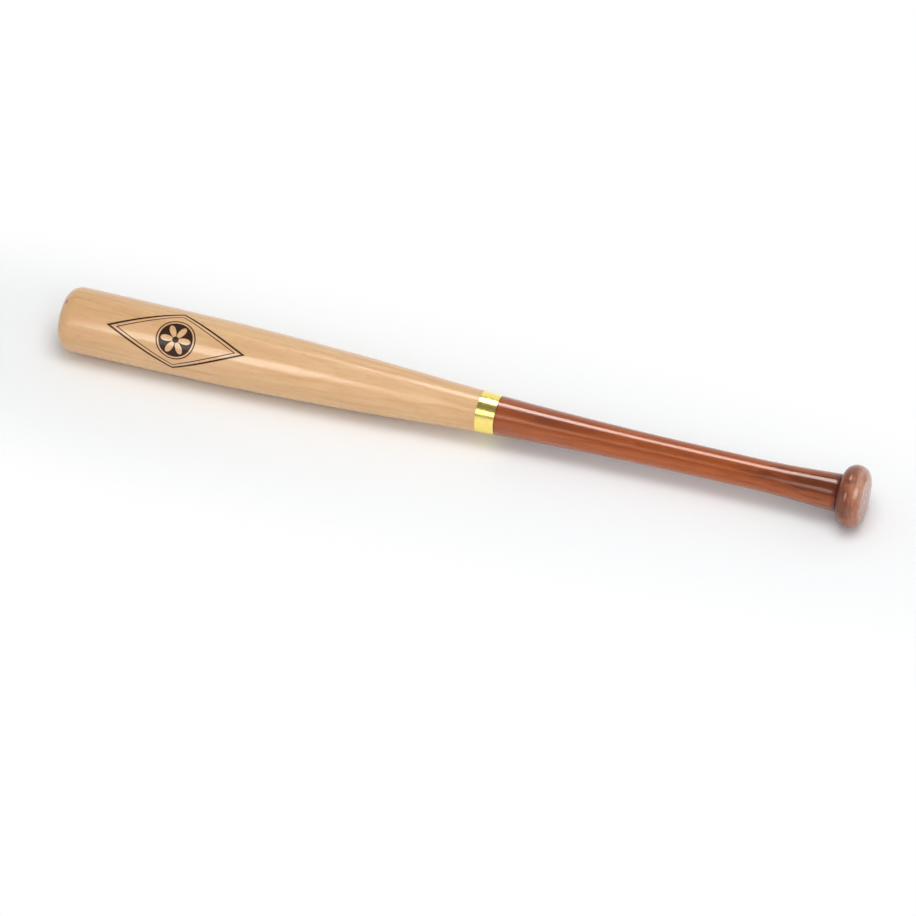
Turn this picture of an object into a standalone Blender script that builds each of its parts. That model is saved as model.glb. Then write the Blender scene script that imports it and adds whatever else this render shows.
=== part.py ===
"""Wooden baseball bat in two turned lengths, lying on its side.

The bat is a pale barrel and a stained handle, glued end to end on a fluted dowel. A brass ferrule
covers the joint and is turned flush with the wood on both sides. The knob is turned by itself and
glued on the handle's foot over a second, smaller dowel.

Sizes are in metres. A station is a distance along the bat's axis, measured from the knob's flat end.
The empty "bat_axis" lays the whole bat down: its local Z is the station, which runs along world -X,
and its local X points up. The origin is on the surface that the bat lies on, below the middle of its
length.
"""

import math

import bmesh
import bpy
from mathutils import Vector

# Whole bat
LENGTH = 0.686

# Facets: round the axis, along each span of a turned side, and along a large and a small quarter turn
FACETS = 48
SPAN_STEPS = 9
CORNER_STEPS = 8
SMALL_CORNER_STEPS = 3
SHARP_EDGE_ANGLE = math.radians(28)

# Barrel. The two lengths are measured from the barrel's end. The shoulder is where the long taper has
# almost ended, and is thinner than the full diameter by its drop. Halfway up the taper, the barrel has
# made TAPER_FULLNESS of its growth from the ferrule to the shoulder.
BARREL_DIAMETER = 0.0545
BARREL_CORNER_RADIUS = 0.0125
BARREL_FULL_LENGTH = 0.038
SHOULDER_LENGTH = 0.133
SHOULDER_DROP = 0.0009
TAPER_FULLNESS = 0.64

# Ferrule, and the joint that it covers
JOINT_STATION = 0.319
FERRULE_LENGTH = 0.0158
FERRULE_BARREL_DIAMETER = 0.0344
FERRULE_HANDLE_DIAMETER = 0.0330
FERRULE_LEAST_WALL = 0.0007
FERRULE_CHAMFER = 0.0002

# Handle, whose grip is its straight, slimmest stretch
GRIP_DIAMETER = 0.0256
GRIP_STATION = 0.092
GRIP_LENGTH = 0.058
FOOT_DIAMETER = 0.0317
FOOT_SLOPE = -0.060
FOOT_ROUND = 0.0014

# Knob
KNOB_LENGTH = 0.0213
KNOB_DIAMETER = 0.0517
KNOB_CROWN_STATION = 0.0110
KNOB_FLAT_DIAMETER = 0.0340
KNOB_SOCKET_FLOOR = 0.0045

# Cone that the lathe's centre leaves in the middle of both ends
LATHE_MARK_DIAMETER = 0.0024
LATHE_MARK_ANGLE = math.radians(60)

# Dowels and the holes that they are glued into
JOINT_DOWEL_DIAMETER = 0.016
JOINT_DOWEL_REACH = 0.055
KNOB_DOWEL_DIAMETER = 0.012
KNOB_DOWEL_IN_HANDLE = 0.034
DOWEL_FLUTES = 16
DOWEL_FLUTE_DEPTH = 0.0005
DOWEL_LAND_SHARE = 0.45
DOWEL_FLUTE_SIDE_SHARE = 0.15
DOWEL_CHAMFER = 0.0012
DRILL_POINT_ANGLE = math.radians(118)
HOLE_CHAMFER = 0.0006

# Clearances: the glue line at every seat, and the space left at the bottom of a dowel hole
GLUE_GAP = 0.0003
HOLE_END_GAP = 0.001

# Sizes that follow from those above
JOINT_TOP = JOINT_STATION + GLUE_GAP / 2
JOINT_BOTTOM = JOINT_STATION - GLUE_GAP / 2
HANDLE_FOOT = KNOB_LENGTH + GLUE_GAP
FERRULE_TOP = JOINT_STATION + FERRULE_LENGTH / 2
FERRULE_BOTTOM = JOINT_STATION - FERRULE_LENGTH / 2
FERRULE_BARREL_RADIUS = FERRULE_BARREL_DIAMETER / 2
FERRULE_HANDLE_RADIUS = FERRULE_HANDLE_DIAMETER / 2
FERRULE_SLOPE = (FERRULE_BARREL_RADIUS - FERRULE_HANDLE_RADIUS) / FERRULE_LENGTH
FERRULE_BORE_RADIUS = min(FERRULE_BARREL_RADIUS, FERRULE_HANDLE_RADIUS) - FERRULE_LEAST_WALL
FERRULE_SEAT_RADIUS = FERRULE_BORE_RADIUS - GLUE_GAP
JOINT_HOLE_RADIUS = JOINT_DOWEL_DIAMETER / 2 + GLUE_GAP
JOINT_HOLE_DEPTH = JOINT_DOWEL_REACH + HOLE_END_GAP
KNOB_HOLE_RADIUS = KNOB_DOWEL_DIAMETER / 2 + GLUE_GAP
KNOB_HOLE_POINT = KNOB_HOLE_RADIUS / math.tan(DRILL_POINT_ANGLE / 2)
KNOB_HOLE_DEPTH = KNOB_LENGTH - KNOB_SOCKET_FLOOR - KNOB_HOLE_POINT
HANDLE_HOLE_DEPTH = KNOB_DOWEL_IN_HANDLE + HOLE_END_GAP
LATHE_MARK_RADIUS = LATHE_MARK_DIAMETER / 2
LATHE_MARK_DEPTH = LATHE_MARK_RADIUS / math.tan(LATHE_MARK_ANGLE / 2)
# A facet, not a corner, faces down, so the axis is as high as the widest facets are deep.
AXIS_HEIGHT = max(BARREL_DIAMETER, KNOB_DIAMETER) / 2 * math.cos(math.pi / FACETS)

# Colours are linear RGB, followed by roughness and metallic
PALE_WOOD = ("pale_wood", (0.670, 0.434, 0.214), 0.25, 0.0)
BRASS = ("brass", (0.888, 0.716, 0.262), 0.12, 1.0)
STAINED_WOOD = ("stained_wood", (0.342, 0.107, 0.040), 0.20, 0.0)
KNOB_WOOD = ("knob_wood", (0.365, 0.125, 0.060), 0.30, 0.0)
DOWEL_WOOD = ("dowel_wood", (0.640, 0.430, 0.250), 0.65, 0.0)


def template_curve(marks, first_slope, last_slope):
    """Points of a fair curve through the marks, each (radius, station), from the first to the last.

    Each span between two marks is a cubic. A slope is the change of radius for each metre of station.
    At an inner mark it is the harmonic mean of its neighbours' slopes, or zero where those have
    different signs, so the wood neither swells nor dips between two marks.
    """
    chords = [(end[0] - start[0]) / (end[1] - start[1]) for start, end in zip(marks, marks[1:])]
    slopes = [first_slope]
    for before, after in zip(chords, chords[1:]):
        agree = before * after > 0
        slopes.append(2 * before * after / (before + after) if agree else 0.0)
    slopes.append(last_slope)
    points = [marks[0]]
    for start, end, leaving, arriving in zip(marks, marks[1:], slopes, slopes[1:]):
        span = end[1] - start[1]
        for step in range(1, SPAN_STEPS + 1):
            t = step / SPAN_STEPS
            radius = (2 * t**3 - 3 * t**2 + 1) * start[0] + (3 * t**2 - 2 * t**3) * end[0]
            radius += span * ((t**3 - 2 * t**2 + t) * leaving + (t**3 - t**2) * arriving)
            points.append((radius, start[1] + t * span))
    return points


def quarter_turn(centre, across, along, first_angle, steps):
    """Points of a quarter of an ellipse round centre, turning clockwise, after its first point.

    It reaches `across` in radius and `along` in station. Angle 0 is its outermost point.
    """
    points = []
    for step in range(1, steps + 1):
        angle = first_angle - math.pi / 2 * step / steps
        radius = centre[0] + across * math.cos(angle)
        station = centre[1] + along * math.sin(angle)
        points.append((radius, station))
    return points


def drilled_hole(mouth, radius, depth, into):
    """Points of a blind hole from its chamfered mouth to its drill point. `into` is 1 up the bat, or -1."""
    floor = mouth + into * depth
    point_length = radius / math.tan(DRILL_POINT_ANGLE / 2)
    return [
        (radius + HOLE_CHAMFER, mouth),
        (radius, mouth + into * HOLE_CHAMFER),
        (radius, floor),
        (0.0, floor + into * point_length),
    ]


def finished(name, shape, material):
    """Makes a named object of a shape on the bat's axis, smooth apart from its real edges."""
    bmesh.ops.recalc_face_normals(shape, faces=shape.faces)
    mesh = bpy.data.meshes.new(name)
    shape.to_mesh(mesh)
    shape.free()
    mesh.shade_smooth()
    mesh.set_sharp_from_angle(angle=SHARP_EDGE_ANGLE)
    mesh.materials.append(material)
    piece = bpy.data.objects.new(name, mesh)
    bpy.context.scene.collection.objects.link(piece)
    return piece


def turned(name, outline, material):
    """Turns an outline of (radius, station) points about the axis, running down the outer side."""
    shape = bmesh.new()
    half_facet = math.pi / FACETS
    points = []
    for radius, station in outline:
        place = (radius * math.cos(half_facet), radius * math.sin(half_facet), station)
        points.append(shape.verts.new(place))
    edges = [shape.edges.new(pair) for pair in zip(points, points[1:])]
    is_ring = outline[0][0] > 0
    if is_ring:
        edges.append(shape.edges.new((points[-1], points[0])))
    bmesh.ops.spin(
        shape,
        geom=points + edges,
        cent=(0, 0, 0),
        axis=(0, 0, 1),
        angle=2 * math.pi,
        steps=FACETS,
        use_merge=True,
    )
    bmesh.ops.remove_doubles(shape, verts=shape.verts, dist=1e-6)
    return finished(name, shape, material)


def fluted_dowel(name, diameter, bottom, top, material):
    """A grooved dowel between two stations, drawn up from its section and chamfered at both ends.

    Going round it, each land of the full radius is followed by a sloping side, the groove's floor and
    the other side.
    """
    radius = diameter / 2
    groove = radius - DOWEL_FLUTE_DEPTH
    floor_share = DOWEL_LAND_SHARE + DOWEL_FLUTE_SIDE_SHARE
    corners = [
        (0.0, radius),
        (DOWEL_LAND_SHARE, radius),
        (floor_share, groove),
        (1 - DOWEL_FLUTE_SIDE_SHARE, groove),
    ]
    end_scale = 1 - DOWEL_CHAMFER / radius
    shape = bmesh.new()
    section = []
    for flute in range(DOWEL_FLUTES):
        for share, reach in corners:
            angle = 2 * math.pi * (flute + share) / DOWEL_FLUTES
            place = (reach * end_scale * math.cos(angle), reach * end_scale * math.sin(angle), bottom)
            section.append(shape.verts.new(place))
    end = shape.faces.new(section)
    body = top - bottom - 2 * DOWEL_CHAMFER
    for rise, spread in ((DOWEL_CHAMFER, 1 / end_scale), (body, 1.0), (DOWEL_CHAMFER, end_scale)):
        drawn = bmesh.ops.extrude_face_region(shape, geom=[end, *end.edges])["geom"]
        end = next(part for part in drawn if isinstance(part, bmesh.types.BMFace))
        bmesh.ops.translate(shape, verts=end.verts, vec=Vector((0, 0, rise)))
        bmesh.ops.scale(shape, verts=end.verts, vec=Vector((spread, spread, 1)))
    return finished(name, shape, material)


def made_material(recipe):
    """A material from its name, colour, roughness and metallic value."""
    name, colour, roughness, metallic = recipe
    material = bpy.data.materials.new(name)
    material.use_nodes = True
    shader = material.node_tree.nodes["Principled BSDF"]
    shader.inputs["Base Color"].default_value = (*colour, 1.0)
    shader.inputs["Roughness"].default_value = roughness
    shader.inputs["Metallic"].default_value = metallic
    return material


def make_barrel(wood):
    """The striking length: a long taper to full diameter, a rounded end, and a dowel hole in its root."""
    full_radius = BARREL_DIAMETER / 2
    flat_radius = full_radius - BARREL_CORNER_RADIUS
    corner_station = LENGTH - BARREL_CORNER_RADIUS
    root = (FERRULE_BARREL_RADIUS, FERRULE_TOP + GLUE_GAP)
    shoulder = (full_radius - SHOULDER_DROP / 2, LENGTH - SHOULDER_LENGTH)
    middle_radius = root[0] + TAPER_FULLNESS * (shoulder[0] - root[0])
    middle = (middle_radius, (root[1] + shoulder[1]) / 2)
    full = (full_radius, LENGTH - BARREL_FULL_LENGTH)
    side = template_curve([root, middle, shoulder, full], FERRULE_SLOPE, 0.0)
    outline = [(0.0, LENGTH - LATHE_MARK_DEPTH), (LATHE_MARK_RADIUS, LENGTH), (flat_radius, LENGTH)]
    corner = (BARREL_CORNER_RADIUS, BARREL_CORNER_RADIUS)
    outline += quarter_turn((flat_radius, corner_station), *corner, math.pi / 2, CORNER_STEPS)
    outline += reversed(side)
    outline += [(FERRULE_SEAT_RADIUS, root[1]), (FERRULE_SEAT_RADIUS, JOINT_TOP)]
    outline += drilled_hole(JOINT_TOP, JOINT_HOLE_RADIUS, JOINT_HOLE_DEPTH, 1)
    return turned("barrel", outline, wood)


def make_ferrule(brass):
    """The brass sleeve over the joint: a straight bore, and an outside turned to the bat's own taper."""
    outline = [
        (FERRULE_BORE_RADIUS, FERRULE_TOP),
        (FERRULE_BARREL_RADIUS - FERRULE_CHAMFER, FERRULE_TOP),
        (FERRULE_BARREL_RADIUS, FERRULE_TOP - FERRULE_CHAMFER),
        (FERRULE_HANDLE_RADIUS, FERRULE_BOTTOM + FERRULE_CHAMFER),
        (FERRULE_HANDLE_RADIUS - FERRULE_CHAMFER, FERRULE_BOTTOM),
        (FERRULE_BORE_RADIUS, FERRULE_BOTTOM),
    ]
    return turned("ferrule", outline, brass)


def make_handle(wood):
    """The stained length: a slim grip that flares at both ends, with a dowel hole in each end."""
    foot_radius = FOOT_DIAMETER / 2
    foot = (foot_radius, HANDLE_FOOT + FOOT_ROUND)
    grip = (GRIP_DIAMETER / 2, GRIP_STATION)
    grip_end = (GRIP_DIAMETER / 2, GRIP_STATION + GRIP_LENGTH)
    head = (FERRULE_HANDLE_RADIUS, FERRULE_BOTTOM - GLUE_GAP)
    side = template_curve([foot, grip, grip_end, head], FOOT_SLOPE, FERRULE_SLOPE)
    outline = list(reversed(drilled_hole(JOINT_BOTTOM, JOINT_HOLE_RADIUS, JOINT_HOLE_DEPTH, -1)))
    outline += [(FERRULE_SEAT_RADIUS, JOINT_BOTTOM), (FERRULE_SEAT_RADIUS, head[1])]
    outline += reversed(side)
    corner = (FOOT_ROUND, FOOT_ROUND)
    outline += quarter_turn((foot_radius - FOOT_ROUND, foot[1]), *corner, 0.0, SMALL_CORNER_STEPS)
    outline += drilled_hole(HANDLE_FOOT, KNOB_HOLE_RADIUS, HANDLE_HOLE_DEPTH, 1)
    return turned("handle", outline, wood)


def make_knob(wood):
    """The knob: a flat seat for the handle, a full shoulder, a crown, and a flat end with a lathe mark."""
    crown_radius = KNOB_DIAMETER / 2
    seat_radius = FOOT_DIAMETER / 2 - FOOT_ROUND
    flat_radius = KNOB_FLAT_DIAMETER / 2
    shoulder = (crown_radius - seat_radius, KNOB_LENGTH - KNOB_CROWN_STATION)
    rim = (crown_radius - flat_radius, KNOB_CROWN_STATION)
    outline = list(reversed(drilled_hole(KNOB_LENGTH, KNOB_HOLE_RADIUS, KNOB_HOLE_DEPTH, -1)))
    outline += [(seat_radius, KNOB_LENGTH)]
    outline += quarter_turn((seat_radius, KNOB_CROWN_STATION), *shoulder, math.pi / 2, CORNER_STEPS)
    outline += quarter_turn((flat_radius, KNOB_CROWN_STATION), *rim, 0.0, CORNER_STEPS)
    outline += [(LATHE_MARK_RADIUS, 0.0), (0.0, LATHE_MARK_DEPTH)]
    return turned("knob", outline, wood)


def make_joint_dowel(wood):
    """The long dowel under the ferrule, as far into the barrel as into the handle."""
    bottom = JOINT_STATION - JOINT_DOWEL_REACH
    top = JOINT_STATION + JOINT_DOWEL_REACH
    return fluted_dowel("joint_dowel", JOINT_DOWEL_DIAMETER, bottom, top, wood)


def make_knob_dowel(wood):
    """The short dowel that carries the knob."""
    bottom = KNOB_LENGTH - KNOB_HOLE_DEPTH + HOLE_END_GAP
    top = HANDLE_FOOT + KNOB_DOWEL_IN_HANDLE
    return fluted_dowel("knob_dowel", KNOB_DOWEL_DIAMETER, bottom, top, wood)


def main():
    for leftover in list(bpy.data.objects):
        bpy.data.objects.remove(leftover)
    dowel_wood = made_material(DOWEL_WOOD)
    axis = bpy.data.objects.new("bat_axis", None)
    bpy.context.scene.collection.objects.link(axis)
    axis.location = (LENGTH / 2, 0, AXIS_HEIGHT)
    axis.rotation_euler = (0, -math.pi / 2, 0)
    pieces = [
        make_barrel(made_material(PALE_WOOD)),
        make_ferrule(made_material(BRASS)),
        make_handle(made_material(STAINED_WOOD)),
        make_knob(made_material(KNOB_WOOD)),
        make_joint_dowel(dowel_wood),
        make_knob_dowel(dowel_wood),
    ]
    for piece in pieces:
        piece.parent = axis


main()
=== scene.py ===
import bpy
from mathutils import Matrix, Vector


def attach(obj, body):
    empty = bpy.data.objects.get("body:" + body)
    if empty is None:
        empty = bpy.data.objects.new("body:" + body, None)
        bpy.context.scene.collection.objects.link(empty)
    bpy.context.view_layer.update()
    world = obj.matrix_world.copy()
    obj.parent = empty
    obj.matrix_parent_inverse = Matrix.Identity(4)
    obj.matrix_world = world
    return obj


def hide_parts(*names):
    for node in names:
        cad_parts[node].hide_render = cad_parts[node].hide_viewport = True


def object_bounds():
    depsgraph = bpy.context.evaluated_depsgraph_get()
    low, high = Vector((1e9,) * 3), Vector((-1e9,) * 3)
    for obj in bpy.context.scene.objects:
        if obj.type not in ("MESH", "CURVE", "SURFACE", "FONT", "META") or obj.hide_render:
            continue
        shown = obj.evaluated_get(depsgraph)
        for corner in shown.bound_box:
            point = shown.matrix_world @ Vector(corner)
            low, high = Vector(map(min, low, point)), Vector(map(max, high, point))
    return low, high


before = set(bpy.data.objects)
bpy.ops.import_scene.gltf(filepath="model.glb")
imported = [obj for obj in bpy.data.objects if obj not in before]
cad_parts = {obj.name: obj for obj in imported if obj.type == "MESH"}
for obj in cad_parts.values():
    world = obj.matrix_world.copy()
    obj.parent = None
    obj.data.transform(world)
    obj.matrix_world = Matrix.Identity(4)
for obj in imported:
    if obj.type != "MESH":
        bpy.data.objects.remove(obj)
cad_box = [list(corner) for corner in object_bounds()]

import math

import bpy
from mathutils import Vector

# The barrel, the pale striking end, turned from beech or maple and left bare under a clear gloss
# lacquer. Its root is a tenon for the ferrule, drilled for the joint dowel, and its far end is
# rounded. A lozenge round a rosette is printed dark brown on its side.

BAT_LENGTH = 0.686
AXIS_HEIGHT = (cad_box[0][2] + cad_box[1][2]) / 2
LATHE_SIDES = 128
# The solids behind the pieces have flat sides. A circle of this share of their radius touches them.
SOLID_SIDES = 48
FLAT_SIDE = math.cos(math.pi / SOLID_SIDES)
SEAM = 0.0001
WELD_DISTANCE = 0.000001
SMOOTH_ANGLE = math.radians(30)

BARREL_RADIUS = 0.02725
BARREL_CORNER = 0.0125
BARREL_FULL_STATION = 0.648
SHOULDER_STATION = 0.553
SHOULDER_RADIUS = 0.0268
LATHE_MARK_RADIUS = 0.0012
LATHE_MARK_DEPTH = 0.00208
POLE_RADIUS = 0.0001

JOINT_STATION = 0.319
FERRULE_TOP = 0.3269
FERRULE_BOTTOM = 0.3111
FERRULE_BARREL_RADIUS = 0.0172
FERRULE_HANDLE_RADIUS = 0.0165
FERRULE_SLOPE = (FERRULE_BARREL_RADIUS - FERRULE_HANDLE_RADIUS) / (FERRULE_TOP - FERRULE_BOTTOM)
TAPER_FULLNESS = 0.64
TAPER_RISE = SHOULDER_RADIUS - FERRULE_BARREL_RADIUS
TAPER_MIDDLE_RADIUS = FERRULE_BARREL_RADIUS + TAPER_FULLNESS * TAPER_RISE
TENON_RADIUS = 0.0155
JOINT_HOLE_RADIUS = 0.0083
JOINT_HOLE_DEPTH = 0.056
HOLE_CHAMFER = 0.0006
DRILL_HALF_ANGLE = math.radians(59)


def fair_curve(marks, first_slope, last_slope, steps=20):
    """Points (station, radius) of the bat's side through its marks, with no swell between them."""
    chords = [(end[1] - start[1]) / (end[0] - start[0]) for start, end in zip(marks, marks[1:])]
    slopes = [first_slope]
    for before, after in zip(chords, chords[1:]):
        slopes.append(2 * before * after / (before + after) if before * after > 0 else 0.0)
    slopes.append(last_slope)
    points = [marks[0]]
    for start, end, leaving, arriving in zip(marks, marks[1:], slopes, slopes[1:]):
        span = end[0] - start[0]
        for step in range(1, steps + 1):
            t = step / steps
            radius = (2 * t**3 - 3 * t**2 + 1) * start[1] + (3 * t**2 - 2 * t**3) * end[1]
            radius += span * ((t**3 - 2 * t**2 + t) * leaving + (t**3 - t**2) * arriving)
            points.append((start[0] + t * span, radius))
    return points


def quarter_round(station, radius, along, across, first_angle, last_angle, steps=16):
    """Points (station, radius) of an arc round a centre. Angle 0 is straight out from the axis."""
    points = []
    for step in range(steps + 1):
        angle = first_angle + (last_angle - first_angle) * step / steps
        points.append((station + along * math.sin(angle), radius + across * math.cos(angle)))
    return points


def blind_hole(mouth, radius, depth, into):
    """Points (station, radius) of a drilled hole, from its chamfered mouth to the drill's point."""
    floor = mouth + into * depth
    point_depth = (radius - POLE_RADIUS) / math.tan(DRILL_HALF_ANGLE)
    return [
        (mouth, radius + HOLE_CHAMFER),
        (mouth + into * HOLE_CHAMFER, radius),
        (floor, radius),
        (floor + into * point_depth, POLE_RADIUS),
    ]


def turn(name, outline, closed_ring=False):
    """Draws a circle along the bat's axis through the outline's (station, radius) points."""
    bpy.ops.object.select_all(action="DESELECT")
    rings = [(BAT_LENGTH / 2 - station, radius * FLAT_SIDE) for station, radius in outline]
    place, radius = rings[0]
    bpy.ops.mesh.primitive_circle_add(
        vertices=LATHE_SIDES,
        radius=radius,
        fill_type="NOTHING" if closed_ring else "NGON",
        location=(place, 0, AXIS_HEIGHT),
        rotation=(0, math.pi / 2, 0),
    )
    piece = bpy.context.object
    piece.name = piece.data.name = name
    bpy.ops.object.mode_set(mode="EDIT")
    for next_place, next_radius in rings[1:] + rings[:1] * closed_ring:
        move = {"value": (next_place - place, 0, 0), "orient_type": "GLOBAL"}
        bpy.ops.mesh.extrude_region_move(TRANSFORM_OT_translate=move)
        growth = next_radius / radius
        centre = (next_place, 0, AXIS_HEIGHT)
        bpy.ops.transform.resize(value=(1, growth, growth), center_override=centre)
        place, radius = next_place, next_radius
    bpy.ops.mesh.select_all(action="SELECT")
    if closed_ring:
        bpy.ops.mesh.remove_doubles(threshold=WELD_DISTANCE)
    bpy.ops.mesh.normals_make_consistent(inside=False)
    bpy.ops.object.mode_set(mode="OBJECT")
    bpy.ops.object.transform_apply(location=True, rotation=True, scale=True)
    bpy.ops.object.shade_smooth_by_angle(angle=SMOOTH_ANGLE)
    return piece


class Link:
    """A shader node's output. Adding, subtracting, multiplying or dividing it adds a Math node."""

    def __init__(self, tree, output=None):
        self.tree = tree
        self.output = output

    def node(self, kind, settings, inputs, output=0):
        """Adds a node with its settings, then sets its sockets to values or joins them to links."""
        made = self.tree.nodes.new(kind)
        for name, value in settings.items():
            setattr(made, name, value)
        for name, value in inputs.items():
            if isinstance(value, Link):
                self.tree.links.new(value.output, made.inputs[name])
            else:
                made.inputs[name].default_value = value
        return Link(self.tree, made.outputs[output])

    def feed(self, fed, socket):
        """Joins this output to a socket of a node that is there already."""
        self.tree.links.new(self.output, fed.inputs[socket])

    def math(self, operation, *values, clamp=False):
        """One Math node on values or links."""
        settings = {"operation": operation, "use_clamp": clamp}
        return self.node("ShaderNodeMath", settings, dict(enumerate(values)))

    def __add__(self, other):
        return self.math("ADD", self, other)

    def __radd__(self, other):
        return self.math("ADD", other, self)

    def __sub__(self, other):
        return self.math("SUBTRACT", self, other)

    def __rsub__(self, other):
        return self.math("SUBTRACT", other, self)

    def __mul__(self, other):
        return self.math("MULTIPLY", self, other)

    def __rmul__(self, other):
        return self.math("MULTIPLY", other, self)

    def __truediv__(self, other):
        return self.math("DIVIDE", self, other)

    def __abs__(self):
        return self.math("ABSOLUTE", self)

    def clamped(self):
        """This value, held between 0 and 1."""
        return self.math("ADD", self, 0.0, clamp=True)

    def fade(self, start, end):
        """0 where this is at start or before it, 1 at end or past it, and smooth between."""
        inputs = {"Value": self, "From Min": start, "From Max": end}
        return self.node("ShaderNodeMapRange", {"interpolation_type": "SMOOTHSTEP"}, inputs)

    def scaled(self, scale):
        """This vector, stretched by a number for each of its three parts."""
        return self.node("ShaderNodeVectorMath", {"operation": "MULTIPLY"}, {0: self, 1: scale})

    def moved(self, offset):
        """This vector, moved by another vector."""
        return self.node("ShaderNodeVectorMath", {"operation": "ADD"}, {0: self, 1: offset})

    def length(self):
        """How long this vector is."""
        return self.node("ShaderNodeVectorMath", {"operation": "LENGTH"}, {0: self}, "Value")

    def parts(self):
        """The three numbers of this vector."""
        split = self.node("ShaderNodeSeparateXYZ", {}, {0: self}).output.node
        return [Link(self.tree, split.outputs[axis]) for axis in "XYZ"]

    def noise(self, scale=1.0, detail=2.0, roughness=0.5, output="Fac"):
        """Noise at this place, with a mean of one half."""
        inputs = {"Vector": self, "Scale": scale, "Detail": detail, "Roughness": roughness}
        return self.node("ShaderNodeTexNoise", {}, inputs, output)

    def tint(self, below, above):
        """A colour between two colours, as far as this value says."""
        return self.node("ShaderNodeMix", {"data_type": "RGBA"}, {0: self, 6: below, 7: above}, 2)

    def relief(self, strength, distance):
        """The normal of a surface that this height lifts by up to a distance."""
        inputs = {"Strength": strength, "Distance": distance, "Height": self}
        return self.node("ShaderNodeBump", {}, inputs, "Normal")


def colour(red, green, blue):
    """A colour for a shader, from its red, green and blue as a picture gives them, 0 to 255."""
    parts = [part / 255 for part in (red, green, blue)]
    return (*[p / 12.92 if p <= 0.04045 else ((p + 0.055) / 1.055) ** 2.4 for p in parts], 1.0)


def new_material(name, roughness, gloss=0.5, coat=0.0, coat_roughness=0.03):
    """A material with its shader, whose plain numbers are set on the shader itself."""
    material = bpy.data.materials.new(name)
    material.use_nodes = True
    shader = material.node_tree.nodes["Principled BSDF"]
    shader.inputs["Roughness"].default_value = roughness
    shader.inputs["Specular IOR Level"].default_value = gloss
    shader.inputs["Coat Weight"].default_value = coat
    shader.inputs["Coat Roughness"].default_value = coat_roughness
    return material, shader


def place_on(material):
    """The place on the piece, as a vector, for a material's patterns."""
    return Link(material.node_tree).node("ShaderNodeTexCoord", {}, {}, "Object")


def angle_round_bat(place):
    """The angle of a place round the bat's axis, 0 at its front and a quarter turn at its top."""
    y, z = place.parts()[1:]
    return y.math("ARCTAN2", z - AXIS_HEIGHT, 0.0 - y)


# How closely the marks of the grain follow each other in a metre, along the bat and across it.
WANDER_GRAIN = (3.0, 9.0, 9.0)
FIBRE_GRAIN = (14.0, 620.0, 620.0)
STREAK_GRAIN = (24.0, 230.0, 230.0)
FLECK_GRAIN = (170.0, 900.0, 1500.0)
CLOUD_GRAIN = (6.0, 34.0, 34.0)
WANDER_REACH = 0.016


def wood_grain(material, pith, ring_pitch, shift):
    """The grain of one billet: (place, rings, fibres, streaks, flecks, clouds).

    All but the place go from 0 to 1. The annual rings run along the bat, round a pith that lies
    beside it. They wander a little along the length, so they show as long lines and tongues on the
    sides and as arcs on the ends.
    """
    place = place_on(material)
    billet = place.moved((shift, 0.0, -AXIS_HEIGHT))
    wander = billet.scaled(WANDER_GRAIN).noise(output="Color").moved((-0.5, -0.5, -0.5))
    bent = billet.moved(wander.scaled((0.0, WANDER_REACH, WANDER_REACH)))
    from_pith = bent.moved((0.0, -pith[0], -pith[1])).scaled((0.0, 1.0, 1.0)).length()
    turns = from_pith / ring_pitch
    rings = turns.math("FRACT", turns)
    rings = rings * rings * (1 - rings.fade(0.90, 1.0))
    fibres = bent.scaled(FIBRE_GRAIN).noise(detail=3.0, roughness=0.62)
    streaks = bent.scaled(STREAK_GRAIN).noise(detail=3.0, roughness=0.6)
    flecks = bent.scaled(FLECK_GRAIN).noise(detail=1.0).fade(0.66, 0.74)
    clouds = bent.scaled(CLOUD_GRAIN).noise(detail=3.0, roughness=0.55)
    return place, rings, fibres, streaks, flecks, clouds


EMBLEM_STATION = 0.583
EMBLEM_HALF_LENGTH = 0.058
EMBLEM_HALF_WIDTH = 0.026
EMBLEM_LINE = 0.0016
EMBLEM_LINE_GAP = 0.0030
EMBLEM_TURN = math.radians(49)
ROSETTE_RADIUS = 0.0145
ROSETTE_RING_GAP = 0.0018
ROSETTE_EYE_RADIUS = 0.0026
ROSETTE_PETALS = 6
PETAL_REACH = 0.88
PETAL_ROUNDNESS = 0.8
INK_EDGE = 0.00012
PRINT_BROWN = colour(54, 26, 13)


def emblem(place):
    """1 where the emblem's brown ink is, from the place on the unrolled side of the barrel."""
    along = place.parts()[0] - (BAT_LENGTH / 2 - EMBLEM_STATION)
    across = (angle_round_bat(place) - EMBLEM_TURN) * BARREL_RADIUS
    slant = math.hypot(1 / EMBLEM_HALF_LENGTH, 1 / EMBLEM_HALF_WIDTH)
    outside = (abs(along) / EMBLEM_HALF_LENGTH + abs(across) / EMBLEM_HALF_WIDTH - 1) / slant

    def stroke(distance, half_width):
        return 1 - abs(distance).fade(half_width - INK_EDGE, half_width + INK_EDGE)

    from_middle = along.math("SQRT", along * along + across * across)
    angle = along.math("ARCTAN2", across, along)
    lobes = abs(angle.math("COSINE", angle * (ROSETTE_PETALS / 2)))
    petal_length = ROSETTE_RADIUS * PETAL_REACH * lobes.math("POWER", lobes, PETAL_ROUNDNESS)
    petals = 1 - (from_middle - petal_length).fade(-INK_EDGE, INK_EDGE)
    bare = petals * from_middle.fade(ROSETTE_EYE_RADIUS, ROSETTE_EYE_RADIUS + 2.5 * INK_EDGE)
    disc = 1 - from_middle.fade(ROSETTE_RADIUS - INK_EDGE, ROSETTE_RADIUS + INK_EDGE)
    ink = disc * (1 - bare)
    for line in (
        stroke(outside, EMBLEM_LINE / 2),
        stroke(outside + EMBLEM_LINE_GAP, EMBLEM_LINE / 4),
        stroke(from_middle - ROSETTE_RADIUS - ROSETTE_RING_GAP, EMBLEM_LINE / 3),
    ):
        ink = ink.math("MAXIMUM", ink, line)
    return ink


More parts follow.
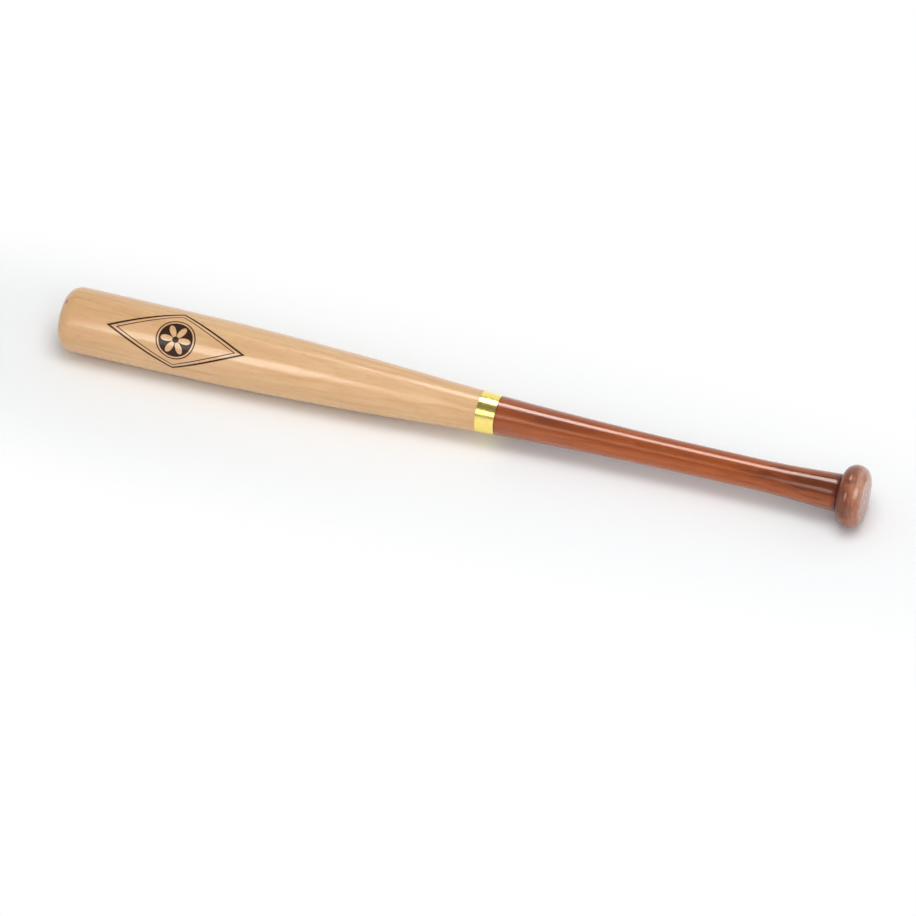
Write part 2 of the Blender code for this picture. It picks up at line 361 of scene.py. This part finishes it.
barrel_side = fair_curve(
    [
        (FERRULE_TOP + SEAM, FERRULE_BARREL_RADIUS),
        ((FERRULE_TOP + SHOULDER_STATION) / 2, TAPER_MIDDLE_RADIUS),
        (SHOULDER_STATION, SHOULDER_RADIUS),
        (BARREL_FULL_STATION, BARREL_RADIUS),
    ],
    first_slope=FERRULE_SLOPE,
    last_slope=0.0,
)
barrel_outline = [
    (BAT_LENGTH - LATHE_MARK_DEPTH, POLE_RADIUS),
    (BAT_LENGTH, LATHE_MARK_RADIUS),
]
barrel_outline += quarter_round(
    BAT_LENGTH - BARREL_CORNER,
    BARREL_RADIUS - BARREL_CORNER,
    along=BARREL_CORNER,
    across=BARREL_CORNER,
    first_angle=math.pi / 2,
    last_angle=0.0,
)
barrel_outline += reversed(barrel_side)
barrel_outline += [(FERRULE_TOP + SEAM, TENON_RADIUS), (JOINT_STATION + SEAM, TENON_RADIUS)]
barrel_outline += blind_hole(JOINT_STATION + SEAM, JOINT_HOLE_RADIUS, JOINT_HOLE_DEPTH, into=1)
barrel = turn("barrel_wood", barrel_outline)

NATURAL_COAT = 0.65
PRINT_COAT_LOSS = 0.50
END_SHADE_LENGTH = 0.143
BLUSH_SHIFT = (0.3, 0.1, 0.2)
BLUSH_GRAIN = (16.0, 90.0, 90.0)
# A small bruise on the end's corner, in two parts, each (place, radius).
BRUISES = (((-0.3384, -0.0063, 0.0508), 0.0020), ((-0.3392, -0.0040, 0.0506), 0.0013))

natural_wood, shader = new_material(
    "natural_wood", roughness=0.40, gloss=0.20, coat=NATURAL_COAT, coat_roughness=0.15
)
place, rings, fibres, streaks, flecks, clouds = wood_grain(
    natural_wood, pith=(0.060, -0.085), ring_pitch=0.0042, shift=0.0
)
# Painted shade: the barrel turns a little darker towards its rounded end.
end_shade = 1 - place.parts()[0].fade(-BAT_LENGTH / 2, END_SHADE_LENGTH - BAT_LENGTH / 2)
tone = clouds * 0.8 + fibres * 0.5 + streaks * 1.1 + rings * 0.30 + end_shade * 0.15 - 0.97
base = tone.clamped().tint(colour(230, 189, 141), colour(206, 155, 101))
blush = place.moved(BLUSH_SHIFT).scaled(BLUSH_GRAIN).noise().fade(0.48, 0.72)
base = (blush * 0.5).tint(base, colour(226, 172, 132))
base = (flecks * 0.35).tint(base, colour(170, 118, 70))
for spot, radius in BRUISES:
    from_spot = place.moved([-part for part in spot]).scaled((1.0, 0.7, 0.7)).length()
    bruise = 1 - from_spot.fade(radius * 0.3, radius)
    base = (bruise * 0.7).tint(base, colour(122, 104, 88))
ink = emblem(place)
ink.tint(base, PRINT_BROWN).feed(shader, "Base Color")
(NATURAL_COAT - ink * PRINT_COAT_LOSS).feed(shader, "Coat Weight")
fibres.relief(strength=0.12, distance=0.0002).feed(shader, "Normal")
barrel.data.materials.append(natural_wood)
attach(barrel, "root")
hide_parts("barrel")

# The joint dowel and the knob's dowel, two fluted pegs of dry beech that the glue holds. They are
# closed up in the wood, so their solids are shown as they are, with bare wood on them.

dowel_wood, shader = new_material("dowel_beech", roughness=0.62)
_, rings, fibres, _, flecks, _ = wood_grain(
    dowel_wood, pith=(0.03, 0.05), ring_pitch=0.003, shift=0.4
)
base = (rings * 0.4 + fibres * 0.6).tint(colour(222, 190, 150), colour(180, 138, 96))
(flecks * 0.6).tint(base, colour(140, 96, 60)).feed(shader, "Base Color")
fibres.relief(strength=0.4, distance=0.0003).feed(shader, "Normal")
for node in ("joint_dowel", "knob_dowel"):
    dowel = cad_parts[node]
    dowel.data.materials.clear()
    dowel.data.materials.append(dowel_wood)

# The ferrule, a brass sleeve over the joint. It is turned flush with the wood on both sides and
# polished, with very fine turning lines round it and its two edges just broken.

FERRULE_BORE_RADIUS = 0.0158
FERRULE_EDGE = 0.00012
TURNING_LINES = (5200.0, 30.0, 30.0)
WEAR_GRAIN = 260.0

ferrule = turn(
    "ferrule_brass",
    [
        (FERRULE_TOP, FERRULE_BORE_RADIUS),
        (FERRULE_TOP, FERRULE_BARREL_RADIUS - FERRULE_EDGE),
        (FERRULE_TOP - FERRULE_EDGE, FERRULE_BARREL_RADIUS),
        (FERRULE_BOTTOM + FERRULE_EDGE, FERRULE_HANDLE_RADIUS),
        (FERRULE_BOTTOM, FERRULE_HANDLE_RADIUS - FERRULE_EDGE),
        (FERRULE_BOTTOM, FERRULE_BORE_RADIUS),
    ],
    closed_ring=True,
)
brass, shader = new_material("polished_brass", roughness=0.22)
shader.inputs["Metallic"].default_value = 1.0
place = place_on(brass)
wear = place.noise(WEAR_GRAIN, detail=3.0, roughness=0.6)
wear.fade(0.35, 0.8).tint(colour(255, 234, 138), colour(250, 224, 120)).feed(shader, "Base Color")
(0.18 + 0.08 * wear).feed(shader, "Roughness")
lines = place.scaled(TURNING_LINES).noise(roughness=0.6)
lines.relief(strength=0.05, distance=0.0001).feed(shader, "Normal")
ferrule.data.materials.append(brass)
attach(ferrule, "root")
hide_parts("ferrule")

# The handle, the slim length that is held. It is turned from the same wood as the barrel, stained
# red-brown and lacquered. The stain is darker where the grain drinks it. The crease against the
# knob is darker, partly stain that has run together and dried there and partly painted shade, and
# a narrow painted shadow lies by the ferrule. Dark streaks between the highlights are partly stain
# and partly painted shade, and a pale streak low on the front is painted light.

KNOB_SEAT_STATION = 0.0213
KNOB_SEAT_PLACE = BAT_LENGTH / 2 - KNOB_SEAT_STATION
FOOT_RADIUS = 0.01585
FOOT_SLOPE = -0.060
FOOT_ROUND = 0.0009
GRIP_RADIUS = 0.0128
GRIP_STATION = 0.092
GRIP_END_STATION = 0.150
KNOB_HOLE_RADIUS = 0.0063
KNOB_HOLE_DEPTH_IN_HANDLE = 0.035
HANDLE_FOOT = KNOB_SEAT_STATION + SEAM
HANDLE_DARK_STAIN_AND_SHADE = colour(86, 32, 18)
HANDLE_PAINTED_LIGHT = colour(192, 96, 38)

handle_side = fair_curve(
    [
        (HANDLE_FOOT + FOOT_ROUND, FOOT_RADIUS),
        (GRIP_STATION, GRIP_RADIUS),
        (GRIP_END_STATION, GRIP_RADIUS),
        (FERRULE_BOTTOM - SEAM, FERRULE_HANDLE_RADIUS),
    ],
    first_slope=FOOT_SLOPE,
    last_slope=FERRULE_SLOPE,
)
handle_outline = blind_hole(JOINT_STATION - SEAM, JOINT_HOLE_RADIUS, JOINT_HOLE_DEPTH, into=-1)
handle_outline.reverse()
handle_outline += [(JOINT_STATION - SEAM, TENON_RADIUS), (FERRULE_BOTTOM - SEAM, TENON_RADIUS)]
handle_outline += reversed(handle_side)
handle_outline += quarter_round(
    HANDLE_FOOT + FOOT_ROUND,
    FOOT_RADIUS - FOOT_ROUND,
    along=FOOT_ROUND,
    across=FOOT_ROUND,
    first_angle=0.0,
    last_angle=-math.pi / 2,
    steps=6,
)[1:]
handle_outline += blind_hole(HANDLE_FOOT, KNOB_HOLE_RADIUS, KNOB_HOLE_DEPTH_IN_HANDLE, into=1)
handle = turn("handle_wood", handle_outline)

STAIN_SHEEN = colour(255, 204, 170)
STREAK_RAGGEDNESS = 2.4
CREASE_DEPTH = 0.85
CREASE_RAGGEDNESS = 0.8
HAZE_AND_SHEEN_COLOUR = colour(214, 176, 156)
HAZE_START = KNOB_SEAT_PLACE + 0.008
HAZE_FULL = BAT_LENGTH / 2 - 0.002
# The rings of the haze in a metre, along the bat and out from its axis, and in a radian round it.
HAZE_RINGS = (330.0, 160.0, 1.4)


def stained_wood(
    name, pith, light, dark, dark_stain_and_shade, creases, stain_and_light_streaks, haze, lacquer, coat_roughness, lift
):
    """Wood under a red-brown stain that has taken unevenly, with painted shade and light in places.

    Each crease is (place along the bat, width); it is darker, partly stain pooled there and partly
    painted shade. Each streak is (place along the bat, half its length, angle round the bat, half
    its spread, depth, colour): most are stain that took unevenly, the dark ones set between the
    highlights are partly painted shade, and the pale ones are painted light. The haze is pale, in
    rings that turning leaves, and thickest towards the knob's end; it is partly a pale finish and
    partly painted sheen, and painted light makes it paler on top. The lacquer is given as two
    (place along the bat, weight) marks, and the lift is how much of the grain it leaves to be felt.
    """
    material, shader = new_material(
        name, roughness=0.26, gloss=0.40, coat=0.5, coat_roughness=coat_roughness
    )
    shader.inputs["Specular Tint"].default_value = STAIN_SHEEN
    place, rings, fibres, streaks, flecks, clouds = wood_grain(
        material, pith, ring_pitch=0.0036, shift=0.9
    )
    x, y, z = place.parts()
    height = z - AXIS_HEIGHT
    angle = angle_round_bat(place)

    tone = (clouds * 1.2 + fibres * 0.6 + streaks * 0.9 + rings * 0.35 - 1.05).clamped()
    base = tone.tint(light, dark)
    base = (flecks * 0.45).tint(base, dark_stain_and_shade)
    # Streaks of stain that took unevenly. The dark ones between the highlights are partly painted
    # shade, and the pale ones are painted light.
    for centre, half_length, middle, half_spread, depth, shade in stain_and_light_streaks:
        far_along = (x - centre) / half_length
        far_round = (angle - math.radians(middle)) / math.radians(half_spread)
        from_centre = x.math("SQRT", far_along * far_along + far_round * far_round)
        streak = 1 - (from_centre + (streaks - 0.5) * STREAK_RAGGEDNESS).fade(0.4, 1.2)
        base = (streak * depth).tint(base, shade)

    from_axis = x.math("SQRT", y * y + height * height)
    lathe_place = {"X": x, "Y": from_axis, "Z": angle}
    turning = x.node("ShaderNodeCombineXYZ", {}, lathe_place).scaled(HAZE_RINGS)
    turning = turning.noise().fade(0.22, 0.76)
    # The haze is partly a pale finish and partly painted sheen, growing towards the knob's end.
    # Painted light: it is paler on the upper side.
    haze_and_top_sheen = 0.10 + 0.90 * x.fade(HAZE_START, HAZE_FULL)
    haze_and_top_sheen = haze_and_top_sheen * (0.35 + 0.65 * z.fade(0.5 * AXIS_HEIGHT, 2 * AXIS_HEIGHT))
    base = (turning * haze_and_top_sheen * haze).tint(base, HAZE_AND_SHEEN_COLOUR)
    # The creases are darker: partly stain that has pooled there and partly painted shade.
    for crease, width in creases:
        from_crease = abs(x - crease) + (clouds - 0.5) * width * CREASE_RAGGEDNESS
        crease_stain_and_shade = CREASE_DEPTH - CREASE_DEPTH * from_crease.fade(0.0, width)
        base = crease_stain_and_shade.tint(base, dark_stain_and_shade)
    base.feed(shader, "Base Color")

    (first_place, first_weight), (last_place, last_weight) = lacquer
    coat = first_weight + (last_weight - first_weight) * x.fade(first_place, last_place)
    coat.feed(shader, "Coat Weight")
    fibres.relief(lift, distance=0.0002).feed(shader, "Normal")
    return material


handle.data.materials.append(
    stained_wood(
        "stained_handle",
        pith=(0.050, -0.070),
        light=colour(170, 83, 34),
        dark=colour(120, 51, 17),
        dark_stain_and_shade=HANDLE_DARK_STAIN_AND_SHADE,
        # The crease at the knob: partly pooled stain, partly painted shade. By the ferrule: painted
        # shadow.
        creases=[(KNOB_SEAT_PLACE, 0.006), (BAT_LENGTH / 2 - FERRULE_BOTTOM, 0.0016)],
        stain_and_light_streaks=[
            # Painted light: a pale streak low on the handle's front.
            (0.18, 0.200, -10, 30, 0.45, HANDLE_PAINTED_LIGHT),
            # Partly stain and partly painted shade: dark between the highlights, by the knob and
            # the ferrule.
            (0.325, 0.075, 62, 50, 0.85, HANDLE_DARK_STAIN_AND_SHADE),
            (0.075, 0.060, 66, 22, 0.35, HANDLE_DARK_STAIN_AND_SHADE),
            (0.20, 0.06, 150, 30, 0.4, HANDLE_DARK_STAIN_AND_SHADE),
            (0.30, 0.05, -60, 45, 0.7, HANDLE_DARK_STAIN_AND_SHADE),
            (0.31, 0.05, 165, 40, 0.7, HANDLE_DARK_STAIN_AND_SHADE),
            (0.08, 0.06, -130, 40, 0.4, HANDLE_DARK_STAIN_AND_SHADE),
        ],
        haze=0.0,
        lacquer=((0.04, 0.85), (0.15, 0.50)),
        coat_roughness=0.12,
        lift=0.12,
    )
)
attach(handle, "root")
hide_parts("handle")

# The knob, a turned button glued over the handle's foot on its own dowel. It has a full shoulder
# and a nearly flat end, crowned by less than half a millimetre, with the lathe centre's mark in
# its middle.

KNOB_RADIUS = 0.02585
KNOB_CROWN_STATION = 0.0110
KNOB_FLAT_RADIUS = 0.0170
KNOB_HOLE_DEPTH = 0.01301
KNOB_DARK_STAIN_AND_SHADE = colour(96, 46, 30)
# The end's crown is the tip of an ellipse, this long and twice as wide as the flat.
CROWN_LENGTH = 0.0030
CROWN_START = -math.radians(60)
CROWN_END = -math.radians(86)
KNOB_CORNER_END = -math.radians(87)

knob_seat_radius = FOOT_RADIUS - FOOT_ROUND
crown_rim = CROWN_LENGTH * (1 + math.sin(CROWN_START))
knob_outline = blind_hole(KNOB_SEAT_STATION, KNOB_HOLE_RADIUS, KNOB_HOLE_DEPTH, into=-1)
knob_outline.reverse()
knob_outline += quarter_round(
    KNOB_CROWN_STATION,
    knob_seat_radius,
    along=KNOB_SEAT_STATION - KNOB_CROWN_STATION,
    across=KNOB_RADIUS - knob_seat_radius,
    first_angle=math.pi / 2,
    last_angle=0.0,
    steps=20,
)
knob_outline += quarter_round(
    KNOB_CROWN_STATION,
    KNOB_FLAT_RADIUS,
    along=KNOB_CROWN_STATION - crown_rim,
    across=KNOB_RADIUS - KNOB_FLAT_RADIUS,
    first_angle=0.0,
    last_angle=KNOB_CORNER_END,
)[1:]
knob_outline += quarter_round(
    CROWN_LENGTH,
    0.0,
    along=CROWN_LENGTH,
    across=2 * KNOB_FLAT_RADIUS,
    first_angle=CROWN_START,
    last_angle=CROWN_END,
    steps=8,
)
knob_outline += [(0.0, LATHE_MARK_RADIUS), (LATHE_MARK_DEPTH, POLE_RADIUS)]
knob = turn("knob_wood", knob_outline)
knob.data.materials.append(
    stained_wood(
        "stained_knob",
        pith=(0.045, 0.060),
        light=colour(176, 98, 62),
        dark=colour(134, 66, 42),
        dark_stain_and_shade=KNOB_DARK_STAIN_AND_SHADE,
        # Partly pooled stain and partly painted shade in the crease against the handle.
        creases=[(KNOB_SEAT_PLACE, 0.009)],
        stain_and_light_streaks=[
            # Painted shade: darker on the knob's shoulder next to the handle, on its top, front and
            # bottom.
            (0.330, 0.010, 100, 35, 0.6, KNOB_DARK_STAIN_AND_SHADE),
            (0.329, 0.009, 20, 55, 0.8, KNOB_DARK_STAIN_AND_SHADE),
            (0.330, 0.010, -60, 40, 0.6, KNOB_DARK_STAIN_AND_SHADE),
        ],
        haze=0.70,
        lacquer=((KNOB_SEAT_PLACE, 0.05), (KNOB_SEAT_PLACE + 0.009, 0.50)),
        coat_roughness=0.2,
        lift=0.02,
    )
)
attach(knob, "root")
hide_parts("knob")

# The studio: a white paper sweep that the bat lies on, lit by a soft box overhead and a fill from
# the front. The other boxes are seen only in the gloss, where they draw the highlights on the wood
# and brass. The bat touches the paper with its full barrel and its knob.

TOUCH_STATION = 0.666
TOUCH_PLACE = BAT_LENGTH / 2 - TOUCH_STATION
FLOOR_RISE = (BARREL_RADIUS - KNOB_RADIUS) * FLAT_SIDE / (TOUCH_STATION - KNOB_CROWN_STATION)
PAPER_SIZE = 12
# The paper is plain round this place, which is counted from the paper's own middle, in a patch six
# times as long as it is deep. From there it fades into pure white.
PLAIN_MIDDLE = (-0.05 - TOUCH_PLACE, -0.02, 0.0)
PLAIN_SHAPE = (1.0, 6.0, 1.0)
PLAIN_REACH = 0.35
WHITE_REACH = 0.95
PURE_WHITE = (1.0, 1.0, 1.0, 1.0)

bpy.ops.object.select_all(action="DESELECT")
bpy.ops.mesh.primitive_plane_add(
    size=PAPER_SIZE, location=(TOUCH_PLACE, 0, 0), rotation=(0, -math.atan(FLOOR_RISE), 0)
)
paper = bpy.context.object
paper.name = "paper_sweep"
white_paper, shader = new_material("white_paper", roughness=0.85, gloss=0.2)
shader.inputs["Base Color"].default_value = colour(249, 251, 252)
from_plain = place_on(white_paper).moved([-part for part in PLAIN_MIDDLE]).scaled(PLAIN_SHAPE)
pure = from_plain.length().fade(PLAIN_REACH, WHITE_REACH)
glow = pure.node("ShaderNodeEmission", {}, {"Color": PURE_WHITE, "Strength": 1.0})
matte = Link(white_paper.node_tree, shader.outputs[0])
mixed = pure.node("ShaderNodeMixShader", {}, {0: pure, 1: matte, 2: glow})
mixed.feed(white_paper.node_tree.nodes["Material Output"], "Surface")
paper.data.materials.append(white_paper)

BAT_MIDDLE = Vector((0.0, 0.0, AXIS_HEIGHT))
# Each soft box is (name, direction from the bat's middle, distance, (width, height), power).
LIGHT_BOXES = (
    ("top_box", (0.13, -0.125, 0.97), 2.0, (1.2, 1.2), 18.0),
    ("fill_box", (0.34, -0.64, 0.70), 3.0, (1.2, 1.2), 14.0),
)
GLOSS_BOXES = (
    ("key_box", (0.83, -0.285, 0.485), 2.4, (1.1, 1.1), 22.0),
    ("back_strip", (-0.062, 0.37, 0.92), 1.5, (0.20, 0.58), 5.2),
    ("back_edge", (-0.18, 0.37, 0.91), 1.5, (0.11, 0.50), 0.9),
    ("front_strip", (-0.302, -0.76, 0.61), 1.9, (0.40, 0.85), 8.6),
    ("front_edge", (-0.145, -0.76, 0.62), 1.9, (0.17, 0.45), 0.55),
)


def soft_box(name, direction, distance, size, power, only_in_gloss):
    """An area lamp at a distance from the bat's middle, facing it."""
    lamp = bpy.data.lights.new(name, "AREA")
    lamp.shape = "RECTANGLE"
    lamp.size, lamp.size_y = size
    lamp.energy = power
    holder = bpy.data.objects.new(name, lamp)
    bpy.context.scene.collection.objects.link(holder)
    back = Vector(direction).normalized()
    holder.location = BAT_MIDDLE + back * distance
    holder.rotation_euler = back.to_track_quat("Z", "Y").to_euler()
    holder.visible_glossy = only_in_gloss
    holder.visible_diffuse = not only_in_gloss


for box in LIGHT_BOXES:
    soft_box(*box, only_in_gloss=False)
for box in GLOSS_BOXES:
    soft_box(*box, only_in_gloss=True)

# The air past the paper's edge is pure white, and it lights the bat with half of that. In the gloss
# it is dim, but pale low down and behind the bat.
AIR_LIGHT = 0.50
AIR_WHITE = 1.0
GLOSS_DIM = 0.20
GLOSS_PALE = 0.92

world = bpy.data.worlds.new("studio_air")
bpy.context.scene.world = world
world.use_nodes = True
start = Link(world.node_tree)
seen = start.node("ShaderNodeLightPath", {}, {}, "Is Camera Ray")
mirrored = start.node("ShaderNodeLightPath", {}, {}, "Is Glossy Ray")
away, upward = start.node("ShaderNodeTexCoord", {}, {}, "Generated").parts()[1:]
pale = start.math("MAXIMUM", away.fade(0.6, 0.8), 1 - upward.fade(0.20, 0.30))
in_gloss = pale * (GLOSS_PALE - GLOSS_DIM) + (GLOSS_DIM - AIR_LIGHT)
strength = AIR_LIGHT + seen * (AIR_WHITE - AIR_LIGHT) + mirrored * in_gloss
air = world.node_tree.nodes["Background"]
air.inputs["Color"].default_value = PURE_WHITE
strength.feed(air, "Strength")

# The camera, high in front of the bat and a little towards its knob. Its long lens hardly makes
# the nearer end of the bat look larger.

VIEW_TURN = math.radians(18.11)
VIEW_RISE = math.radians(44.5)
VIEW_TARGET = Vector((0.0157, -0.0573, AXIS_HEIGHT))
VIEW_DISTANCE = 8.097
PICTURE_WIDTH = 916
FOCAL_PIXELS = 10000

camera_data = bpy.data.cameras.new("camera")
camera_data.lens = camera_data.sensor_width * FOCAL_PIXELS / PICTURE_WIDTH
camera = bpy.data.objects.new("camera", camera_data)
bpy.context.scene.collection.objects.link(camera)
view_back = Vector(
    (
        math.sin(VIEW_TURN) * math.cos(VIEW_RISE),
        -math.cos(VIEW_TURN) * math.cos(VIEW_RISE),
        math.sin(VIEW_RISE),
    )
)
camera.location = VIEW_TARGET + view_back * VIEW_DISTANCE
camera.rotation_euler = view_back.to_track_quat("Z", "Y").to_euler()
bpy.context.scene.camera = camera
bpy.context.scene.view_settings.view_transform = "Standard"
